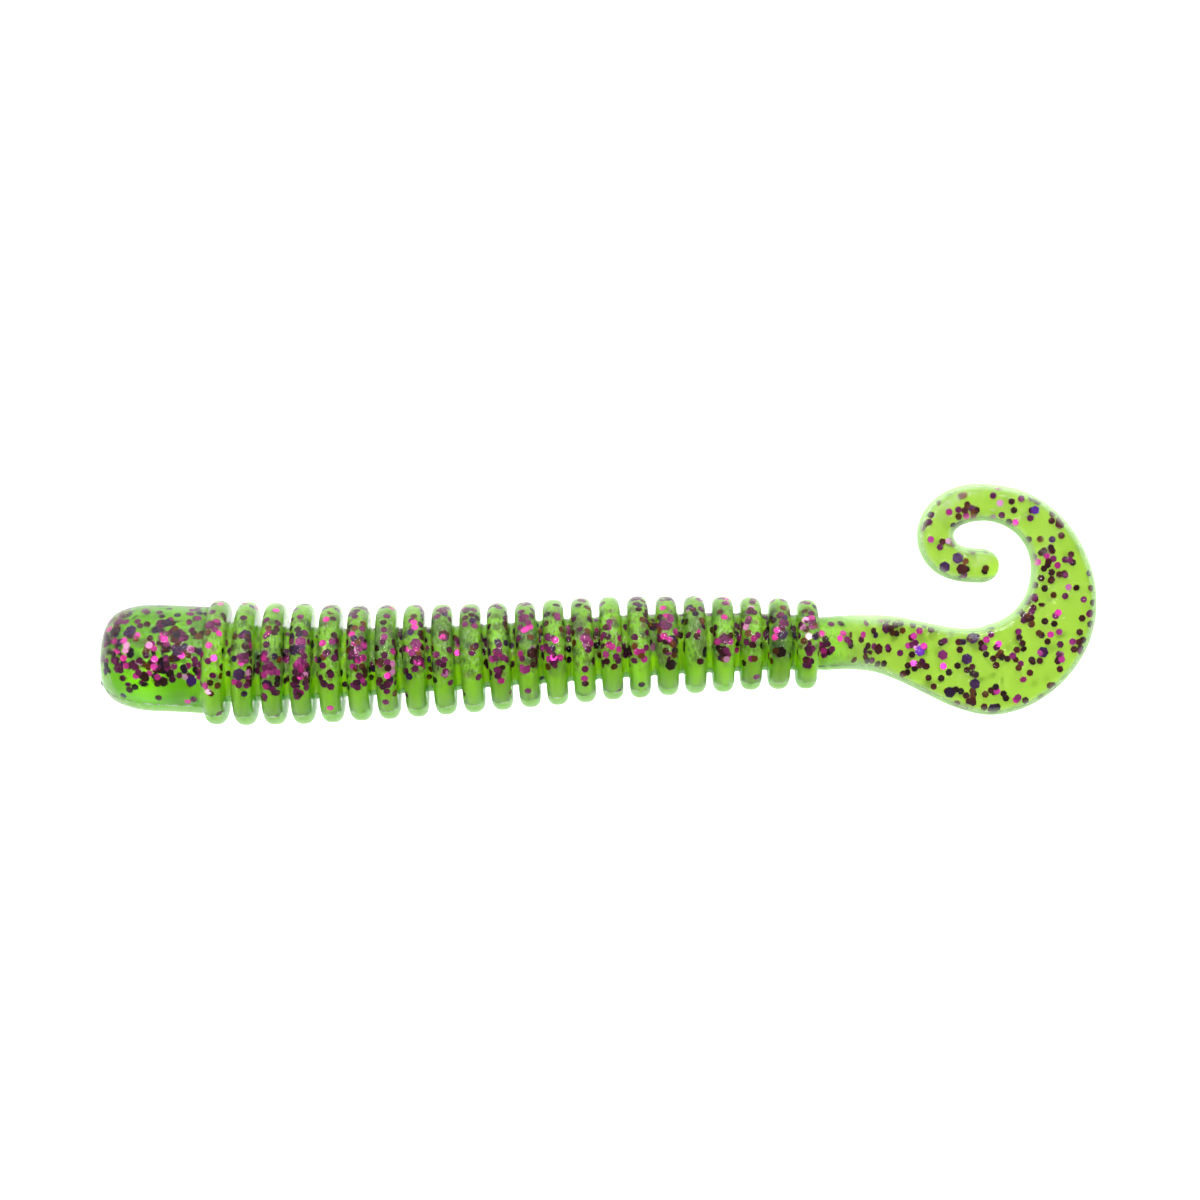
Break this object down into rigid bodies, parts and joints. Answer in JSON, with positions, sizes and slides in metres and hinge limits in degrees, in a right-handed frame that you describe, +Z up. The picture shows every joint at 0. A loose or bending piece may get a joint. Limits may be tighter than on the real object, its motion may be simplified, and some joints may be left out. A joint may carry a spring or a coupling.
{
  "type": "soft plastic worm",
  "caption": "Ribbed soft plastic worm lure with a bullet head, a tapering ringed body, a slim stem and a flat curled tail, in clear chartreuse plastic with hexagonal glitter.",
  "frame": {"origin": "centre of the overall box, on the surface the worm lies on", "axes": "+X from the nose to the tail, +Z up from the surface, +Y the side that the curl of the tail turns to"},
  "size_m": [0.0889, 0.0216, 0.011],
  "materials": {
    "head_plastic": "clear chartreuse soft plastic, glossy, with hexagonal flakes inside",
    "body_plastic": "clear chartreuse soft plastic, glossy, with hexagonal flakes inside",
    "tail_plastic": "clear chartreuse soft plastic, glossy, paler where thin, with hexagonal flakes inside",
    "flakes_dark": "metallised hexagonal flakes, dark plum",
    "flakes_bright": "metallised hexagonal flakes, magenta",
    "flakes_large": "metallised hexagonal flakes, deep violet"
  },
  "bodies": {
    "head": {"head": "head_plastic", "ring_01": "body_plastic"},
    "ring_02": {"ring_02": "body_plastic"},
    "ring_03": {"ring_03": "body_plastic"},
    "ring_04": {"ring_04": "body_plastic"},
    "ring_05": {"ring_05": "body_plastic"},
    "ring_06": {"ring_06": "body_plastic"},
    "ring_07": {"ring_07": "body_plastic"},
    "ring_08": {"ring_08": "body_plastic"},
    "ring_09": {"ring_09": "body_plastic"},
    "ring_10": {"ring_10": "body_plastic"},
    "ring_11": {"ring_11": "body_plastic"},
    "ring_12": {"ring_12": "body_plastic"},
    "ring_13": {"ring_13": "body_plastic"},
    "ring_14": {"ring_14": "body_plastic"},
    "ring_15": {"ring_15": "body_plastic"},
    "ring_16": {"ring_16": "body_plastic"},
    "ring_17": {"ring_17": "body_plastic"},
    "ring_18": {"ring_18": "body_plastic"},
    "ring_19": {"ring_19": "body_plastic"},
    "ring_20": {"ring_20": "body_plastic"},
    "ring_21": {"ring_21": "body_plastic"},
    "ring_22": {"ring_22": "body_plastic"},
    "stem_1": {"stem_1": "tail_plastic"},
    "stem_2": {"stem_2": "tail_plastic"},
    "stem_3": {"stem_3": "tail_plastic"},
    "stem_4": {"stem_4": "tail_plastic"},
    "stem_5": {"stem_5": "tail_plastic"},
    "tail_01": {"tail_01": "tail_plastic"},
    "tail_02": {"tail_02": "tail_plastic"},
    "tail_03": {"tail_03": "tail_plastic"},
    "tail_04": {"tail_04": "tail_plastic"},
    "tail_05": {"tail_05": "tail_plastic"},
    "tail_06": {"tail_06": "tail_plastic"},
    "tail_07": {"tail_07": "tail_plastic"},
    "tail_08": {"tail_08": "tail_plastic"},
    "tail_09": {"tail_09": "tail_plastic"},
    "tail_10": {"tail_10": "tail_plastic"},
    "tail_11": {"tail_11": "tail_plastic"},
    "tail_12": {"tail_12": "tail_plastic"},
    "tail_13": {"tail_13": "tail_plastic"},
    "tail_14": {"tail_14": "tail_plastic"},
    "tail_15": {"tail_15": "tail_plastic"},
    "tail_16": {"tail_16": "tail_plastic"},
    "tail_17": {"tail_17": "tail_plastic"},
    "tail_18": {"tail_18": "tail_plastic"},
    "tail_19": {"tail_19": "tail_plastic"},
    "tail_tip": {"tail_tip": "tail_plastic"}
  },
  "joints": [
    {"name": "body_bend_side", "type": "hinge", "parent": "head", "child": "ring_02", "pos_m": [-0.03273, -0.00519, 0.00549], "axis": [0.0158, -0.0008, 0.9999], "range_deg": [-7.5, 7.5], "stiffness_Nm_per_rad": 0.0006},
    {"name": "body_bend_up", "type": "hinge", "parent": "ring_02", "child": "ring_03", "pos_m": [-0.0302, -0.00524, 0.00545], "axis": [-0.0109, -0.9999, 0.0015], "range_deg": [-7.5, 7.5], "stiffness_Nm_per_rad": 0.0006},
    {"name": "body_bend_side_02", "type": "hinge", "parent": "ring_03", "child": "ring_04", "pos_m": [-0.02769, -0.00525, 0.00539], "axis": [0.0279, 0.0008, 0.9996], "range_deg": [-7.5, 7.5], "stiffness_Nm_per_rad": 0.0006},
    {"name": "body_bend_up_02", "type": "hinge", "parent": "ring_04", "child": "ring_05", "pos_m": [-0.02518, -0.00524, 0.00531], "axis": [0.009, -1, 0.0015], "range_deg": [-7.5, 7.5], "stiffness_Nm_per_rad": 0.0006},
    {"name": "body_bend_side_03", "type": "hinge", "parent": "ring_05", "child": "ring_06", "pos_m": [-0.02269, -0.00521, 0.00521], "axis": [0.035, 0.0008, 0.9994], "range_deg": [-7.5, 7.5], "stiffness_Nm_per_rad": 0.0006},
    {"name": "body_bend_up_03", "type": "hinge", "parent": "ring_06", "child": "ring_07", "pos_m": [-0.02022, -0.00515, 0.00511], "axis": [0.0313, -0.9995, 0.0015], "range_deg": [-7.5, 7.5], "stiffness_Nm_per_rad": 0.0006},
    {"name": "body_bend_side_04", "type": "hinge", "parent": "ring_07", "child": "ring_08", "pos_m": [-0.01774, -0.00505, 0.00504], "axis": [0.0312, 0.0013, 0.9995], "range_deg": [-7.5, 7.5], "stiffness_Nm_per_rad": 0.0006},
    {"name": "body_bend_up_04", "type": "hinge", "parent": "ring_08", "child": "ring_09", "pos_m": [-0.01527, -0.00494, 0.00496], "axis": [0.0443, -0.999, 0.0015], "range_deg": [-7.5, 7.5], "stiffness_Nm_per_rad": 0.0006},
    {"name": "body_bend_side_05", "type": "hinge", "parent": "ring_09", "child": "ring_10", "pos_m": [-0.01278, -0.00483, 0.00489], "axis": [0.0292, 0.0015, 0.9996], "range_deg": [-7.5, 7.5], "stiffness_Nm_per_rad": 0.0006},
    {"name": "body_bend_up_05", "type": "hinge", "parent": "ring_10", "child": "ring_11", "pos_m": [-0.01031, -0.0047, 0.00481], "axis": [0.0589, -0.9983, 0.0015], "range_deg": [-7.5, 7.5], "stiffness_Nm_per_rad": 0.0006},
    {"name": "body_bend_side_06", "type": "hinge", "parent": "ring_11", "child": "ring_12", "pos_m": [-0.00787, -0.00454, 0.00475], "axis": [0.0203, 0.0014, 0.9998], "range_deg": [-7.5, 7.5], "stiffness_Nm_per_rad": 0.0006},
    {"name": "body_bend_up_06", "type": "hinge", "parent": "ring_12", "child": "ring_13", "pos_m": [-0.00541, -0.00434, 0.00471], "axis": [0.0781, -0.9969, 0.0015], "range_deg": [-7.5, 7.5], "stiffness_Nm_per_rad": 0.0006},
    {"name": "body_bend_side_07", "type": "hinge", "parent": "ring_13", "child": "ring_14", "pos_m": [-0.00295, -0.00415, 0.00468], "axis": [0.0171, 0.0013, 0.9999], "range_deg": [-7.5, 7.5], "stiffness_Nm_per_rad": 0.0006},
    {"name": "body_bend_up_07", "type": "hinge", "parent": "ring_14", "child": "ring_15", "pos_m": [-0.00048, -0.00398, 0.00463], "axis": [0.0627, -0.998, 0.0015], "range_deg": [-7.5, 7.5], "stiffness_Nm_per_rad": 0.0006},
    {"name": "body_bend_side_08", "type": "hinge", "parent": "ring_15", "child": "ring_16", "pos_m": [0.00198, -0.00384, 0.00456], "axis": [0.0303, 0.0015, 0.9995], "range_deg": [-7.5, 7.5], "stiffness_Nm_per_rad": 0.0006},
    {"name": "body_bend_up_08", "type": "hinge", "parent": "ring_16", "child": "ring_17", "pos_m": [0.00446, -0.00374, 0.00448], "axis": [0.0423, -0.9991, 0.0015], "range_deg": [-7.5, 7.5], "stiffness_Nm_per_rad": 0.0006},
    {"name": "body_bend_side_09", "type": "hinge", "parent": "ring_17", "child": "ring_18", "pos_m": [0.00694, -0.00364, 0.00439], "axis": [0.035, 0.0012, 0.9994], "range_deg": [-7.5, 7.5], "stiffness_Nm_per_rad": 0.0003},
    {"name": "body_bend_up_09", "type": "hinge", "parent": "ring_18", "child": "ring_19", "pos_m": [0.00942, -0.00357, 0.0043], "axis": [0.0242, -0.9997, 0.0015], "range_deg": [-7.5, 7.5], "stiffness_Nm_per_rad": 0.0003},
    {"name": "body_bend_side_10", "type": "hinge", "parent": "ring_19", "child": "ring_20", "pos_m": [0.0119, -0.00351, 0.00421], "axis": [0.035, 0.0008, 0.9994], "range_deg": [-7.5, 7.5], "stiffness_Nm_per_rad": 0.00012},
    {"name": "body_bend_up_10", "type": "hinge", "parent": "ring_20", "child": "ring_21", "pos_m": [0.01439, -0.00349, 0.00411], "axis": [-0.006, -1, 0.0015], "range_deg": [-7.5, 7.5], "stiffness_Nm_per_rad": 0.00012},
    {"name": "body_bend_side_11", "type": "hinge", "parent": "ring_21", "child": "ring_22", "pos_m": [0.01689, -0.00352, 0.00402], "axis": [0.0294, -0.0008, 0.9996], "range_deg": [-7.5, 7.5], "stiffness_Nm_per_rad": 0.00003},
    {"name": "body_bend_up_11", "type": "hinge", "parent": "ring_22", "child": "stem_1", "pos_m": [0.01948, -0.0035, 0.00396], "axis": [0.024, -0.9997, 0.0015], "range_deg": [-7.5, 7.5], "stiffness_Nm_per_rad": 0.00003},
    {"name": "tail_sweep", "type": "hinge", "parent": "stem_1", "child": "stem_2", "pos_m": [0.02109, -0.00342, 0.00351], "axis": [0.035, 0.0011, 0.9994], "range_deg": [-15, 15], "stiffness_Nm_per_rad": 0.00005},
    {"name": "tail_lift", "type": "hinge", "parent": "stem_2", "child": "stem_3", "pos_m": [0.02278, -0.0034, 0.00263], "axis": [-0.025, -0.9997, 0], "range_deg": [-15, 15], "stiffness_Nm_per_rad": 0.00002},
    {"name": "tail_sweep_02", "type": "hinge", "parent": "stem_3", "child": "stem_4", "pos_m": [0.02446, -0.00351, 0.00171], "axis": [0.0347, -0.0042, 0.9994], "range_deg": [-15, 15], "stiffness_Nm_per_rad": 0.00005},
    {"name": "tail_lift_02", "type": "hinge", "parent": "stem_4", "child": "stem_5", "pos_m": [0.02613, -0.0038, 0.00113], "axis": [-0.2259, -0.9742, 0], "range_deg": [-15, 15], "stiffness_Nm_per_rad": 0.00002},
    {"name": "tail_twist", "type": "hinge", "parent": "stem_5", "child": "tail_01", "pos_m": [0.02768, -0.00424, 0.00096], "axis": [0.9524, -0.3049, 0], "range_deg": [-35, 35], "stiffness_Nm_per_rad": 0.0004},
    {"name": "tail_flap", "type": "hinge", "parent": "tail_01", "child": "tail_02", "pos_m": [0.02938, -0.00481, 0.00095], "axis": [-0.3334, -0.9428, 0], "range_deg": [-15, 15], "stiffness_Nm_per_rad": 0.00012},
    {"name": "tail_uncurl_02", "type": "hinge", "parent": "tail_02", "child": "tail_03", "pos_m": [0.03148, -0.00548, 0.00095], "axis": [-0.0039, 0.001, -1], "range_deg": [-0.32, 5.1], "stiffness_Nm_per_rad": 0.0012},
    {"name": "tail_uncurl_03", "type": "hinge", "parent": "tail_03", "child": "tail_04", "pos_m": [0.03383, -0.00593, 0.00095], "axis": [-0.0039, 0.0008, -1], "range_deg": [-1.38, 22.31], "stiffness_Nm_per_rad": 0.0012},
    {"name": "tail_flap_02", "type": "hinge", "parent": "tail_04", "child": "tail_05", "pos_m": [0.036, -0.00571, 0.00095], "axis": [0.2888, -0.9574, 0], "range_deg": [-15, 15], "stiffness_Nm_per_rad": 0.00012},
    {"name": "tail_uncurl_04", "type": "hinge", "parent": "tail_05", "child": "tail_06", "pos_m": [0.03797, -0.00476, 0.00095], "axis": [-0.0033, -0.0022, -1], "range_deg": [-1.21, 19.61], "stiffness_Nm_per_rad": 0.0012},
    {"name": "tail_uncurl_05", "type": "hinge", "parent": "tail_06", "child": "tail_07", "pos_m": [0.03961, -0.00331, 0.00095], "axis": [-0.0026, -0.0031, -1], "range_deg": [-1.27, 20.51], "stiffness_Nm_per_rad": 0.0012},
    {"name": "tail_flap_03", "type": "hinge", "parent": "tail_07", "child": "tail_08", "pos_m": [0.04077, -0.00145, 0.00095], "axis": [0.9199, -0.3922, 0], "range_deg": [-15, 15], "stiffness_Nm_per_rad": 0.00012},
    {"name": "tail_uncurl_06", "type": "hinge", "parent": "tail_08", "child": "tail_09", "pos_m": [0.04131, 0.00066, 0.00095], "axis": [-0.0005, -0.004, -1], "range_deg": [-1.22, 19.71], "stiffness_Nm_per_rad": 0.000768},
    {"name": "tail_uncurl_07", "type": "hinge", "parent": "tail_09", "child": "tail_10", "pos_m": [0.04126, 0.00285, 0.00095], "axis": [0.0006, -0.004, -1], "range_deg": [-1.12, 18.2], "stiffness_Nm_per_rad": 0.000588},
    {"name": "tail_flap_04", "type": "hinge", "parent": "tail_10", "child": "tail_11", "pos_m": [0.04066, 0.00496, 0.00095], "axis": [0.9114, 0.4114, 0], "range_deg": [-15, 15], "stiffness_Nm_per_rad": 0.00012},
    {"name": "tail_uncurl_08", "type": "hinge", "parent": "tail_11", "child": "tail_12", "pos_m": [0.03949, 0.0068, 0.00095], "axis": [0.0026, -0.003, -1], "range_deg": [-1.25, 20.2], "stiffness_Nm_per_rad": 0.000331},
    {"name": "tail_uncurl_09", "type": "hinge", "parent": "tail_12", "child": "tail_13", "pos_m": [0.03781, 0.0082, 0.00095], "axis": [0.0034, -0.002, -1], "range_deg": [-0.94, 15.21], "stiffness_Nm_per_rad": 0.000271},
    {"name": "tail_uncurl_10", "type": "hinge", "parent": "tail_13", "child": "tail_14", "pos_m": [0.03578, 0.009, 0.00095], "axis": [0.0039, -0.0009, -1], "range_deg": [-0.84, 13.51], "stiffness_Nm_per_rad": 0.000217},
    {"name": "tail_uncurl_11", "type": "hinge", "parent": "tail_14", "child": "tail_15", "pos_m": [0.03379, 0.00916, 0.00095], "axis": [-0.0039, 0.0008, -1], "range_deg": [-0.76, 12.31], "stiffness_Nm_per_rad": 0.000192},
    {"name": "tail_uncurl_12", "type": "hinge", "parent": "tail_15", "child": "tail_16", "pos_m": [0.03204, 0.00882, 0.00095], "axis": [0.0037, 0.0014, -1], "range_deg": [-1.06, 17.2], "stiffness_Nm_per_rad": 0.000192},
    {"name": "tail_uncurl_13", "type": "hinge", "parent": "tail_16", "child": "tail_17", "pos_m": [0.03071, 0.00796, 0.00095], "axis": [0.0027, 0.0029, -1], "range_deg": [-1.49, 24.1], "stiffness_Nm_per_rad": 0.000192},
    {"name": "tail_uncurl_14", "type": "hinge", "parent": "tail_17", "child": "tail_18", "pos_m": [0.03, 0.00659, 0.00095], "axis": [0.0007, 0.0039, -1], "range_deg": [-1.77, 28.71], "stiffness_Nm_per_rad": 0.000192},
    {"name": "tail_uncurl_15", "type": "hinge", "parent": "tail_18", "child": "tail_19", "pos_m": [0.03022, 0.00506, 0.00095], "axis": [-0.0018, 0.0036, -1], "range_deg": [-1.81, 29.3], "stiffness_Nm_per_rad": 0.000192},
    {"name": "tail_uncurl", "type": "hinge", "parent": "tail_19", "child": "tail_tip", "pos_m": [0.03131, 0.00396, 0.00095], "axis": [-0.0028, 0.0028, -1], "range_deg": [-2, 32.5], "stiffness_Nm_per_rad": 0.000192}
  ],
  "couplings": [
    {"joint": "body_bend_side_02", "follows": "body_bend_side", "ratio": 1},
    {"joint": "body_bend_up_02", "follows": "body_bend_up", "ratio": 1},
    {"joint": "body_bend_side_03", "follows": "body_bend_side", "ratio": 1},
    {"joint": "body_bend_up_03", "follows": "body_bend_up", "ratio": 1},
    {"joint": "body_bend_side_04", "follows": "body_bend_side", "ratio": 1},
    {"joint": "body_bend_up_04", "follows": "body_bend_up", "ratio": 1},
    {"joint": "body_bend_side_05", "follows": "body_bend_side", "ratio": 1},
    {"joint": "body_bend_up_05", "follows": "body_bend_up", "ratio": 1},
    {"joint": "body_bend_side_06", "follows": "body_bend_side", "ratio": 1},
    {"joint": "body_bend_up_06", "follows": "body_bend_up", "ratio": 1},
    {"joint": "body_bend_side_07", "follows": "body_bend_side", "ratio": 1},
    {"joint": "body_bend_up_07", "follows": "body_bend_up", "ratio": 1},
    {"joint": "body_bend_side_08", "follows": "body_bend_side", "ratio": 1},
    {"joint": "body_bend_up_08", "follows": "body_bend_up", "ratio": 1},
    {"joint": "body_bend_side_09", "follows": "body_bend_side", "ratio": 1},
    {"joint": "body_bend_up_09", "follows": "body_bend_up", "ratio": 1},
    {"joint": "body_bend_side_10", "follows": "body_bend_side", "ratio": 1},
    {"joint": "body_bend_up_10", "follows": "body_bend_up", "ratio": 1},
    {"joint": "body_bend_side_11", "follows": "body_bend_side", "ratio": 1},
    {"joint": "body_bend_up_11", "follows": "body_bend_up", "ratio": 1},
    {"joint": "tail_sweep_02", "follows": "tail_sweep", "ratio": 1},
    {"joint": "tail_lift_02", "follows": "tail_lift", "ratio": 1},
    {"joint": "tail_uncurl_02", "follows": "tail_uncurl", "ratio": 0.1569},
    {"joint": "tail_uncurl_03", "follows": "tail_uncurl", "ratio": 0.6862},
    {"joint": "tail_flap_02", "follows": "tail_flap", "ratio": 1},
    {"joint": "tail_uncurl_04", "follows": "tail_uncurl", "ratio": 0.6031},
    {"joint": "tail_uncurl_05", "follows": "tail_uncurl", "ratio": 0.6308},
    {"joint": "tail_flap_03", "follows": "tail_flap", "ratio": 1},
    {"joint": "tail_uncurl_06", "follows": "tail_uncurl", "ratio": 0.6062},
    {"joint": "tail_uncurl_07", "follows": "tail_uncurl", "ratio": 0.56},
    {"joint": "tail_flap_04", "follows": "tail_flap", "ratio": 1},
    {"joint": "tail_uncurl_08", "follows": "tail_uncurl", "ratio": 0.6215},
    {"joint": "tail_uncurl_09", "follows": "tail_uncurl", "ratio": 0.4677},
    {"joint": "tail_uncurl_10", "follows": "tail_uncurl", "ratio": 0.4154},
    {"joint": "tail_uncurl_11", "follows": "tail_uncurl", "ratio": 0.3785},
    {"joint": "tail_uncurl_12", "follows": "tail_uncurl", "ratio": 0.5292},
    {"joint": "tail_uncurl_13", "follows": "tail_uncurl", "ratio": 0.7415},
    {"joint": "tail_uncurl_14", "follows": "tail_uncurl", "ratio": 0.8831},
    {"joint": "tail_uncurl_15", "follows": "tail_uncurl", "ratio": 0.9015}
  ]
}
